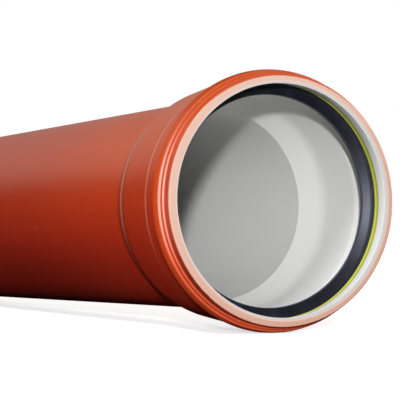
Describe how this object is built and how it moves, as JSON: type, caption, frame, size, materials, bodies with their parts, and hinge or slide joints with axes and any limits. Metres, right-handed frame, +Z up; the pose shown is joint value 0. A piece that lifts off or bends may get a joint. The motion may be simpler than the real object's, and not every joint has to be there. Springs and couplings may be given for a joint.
{
  "type": "polypropylene sewer pipe",
  "caption": "Solid-wall polypropylene sewer pipe with a plain chamfered spigot end and a formed socket that holds a rubber lip seal behind a locking ring.",
  "frame": {"origin": "centre of the pipe's spigot end, on its axis", "axes": "+X along the pipe's axis toward the socket's mouth, +Z up"},
  "size_m": [1.1122, 0.1898, 0.1898],
  "materials": {
    "pipe": "satin",
    "seal_ring": "satin",
    "retaining_ring": "satin"
  },
  "bodies": {
    "root": {"pipe": "pipe", "seal_ring": "seal_ring", "retaining_ring": "retaining_ring"}
  },
  "joints": []
}
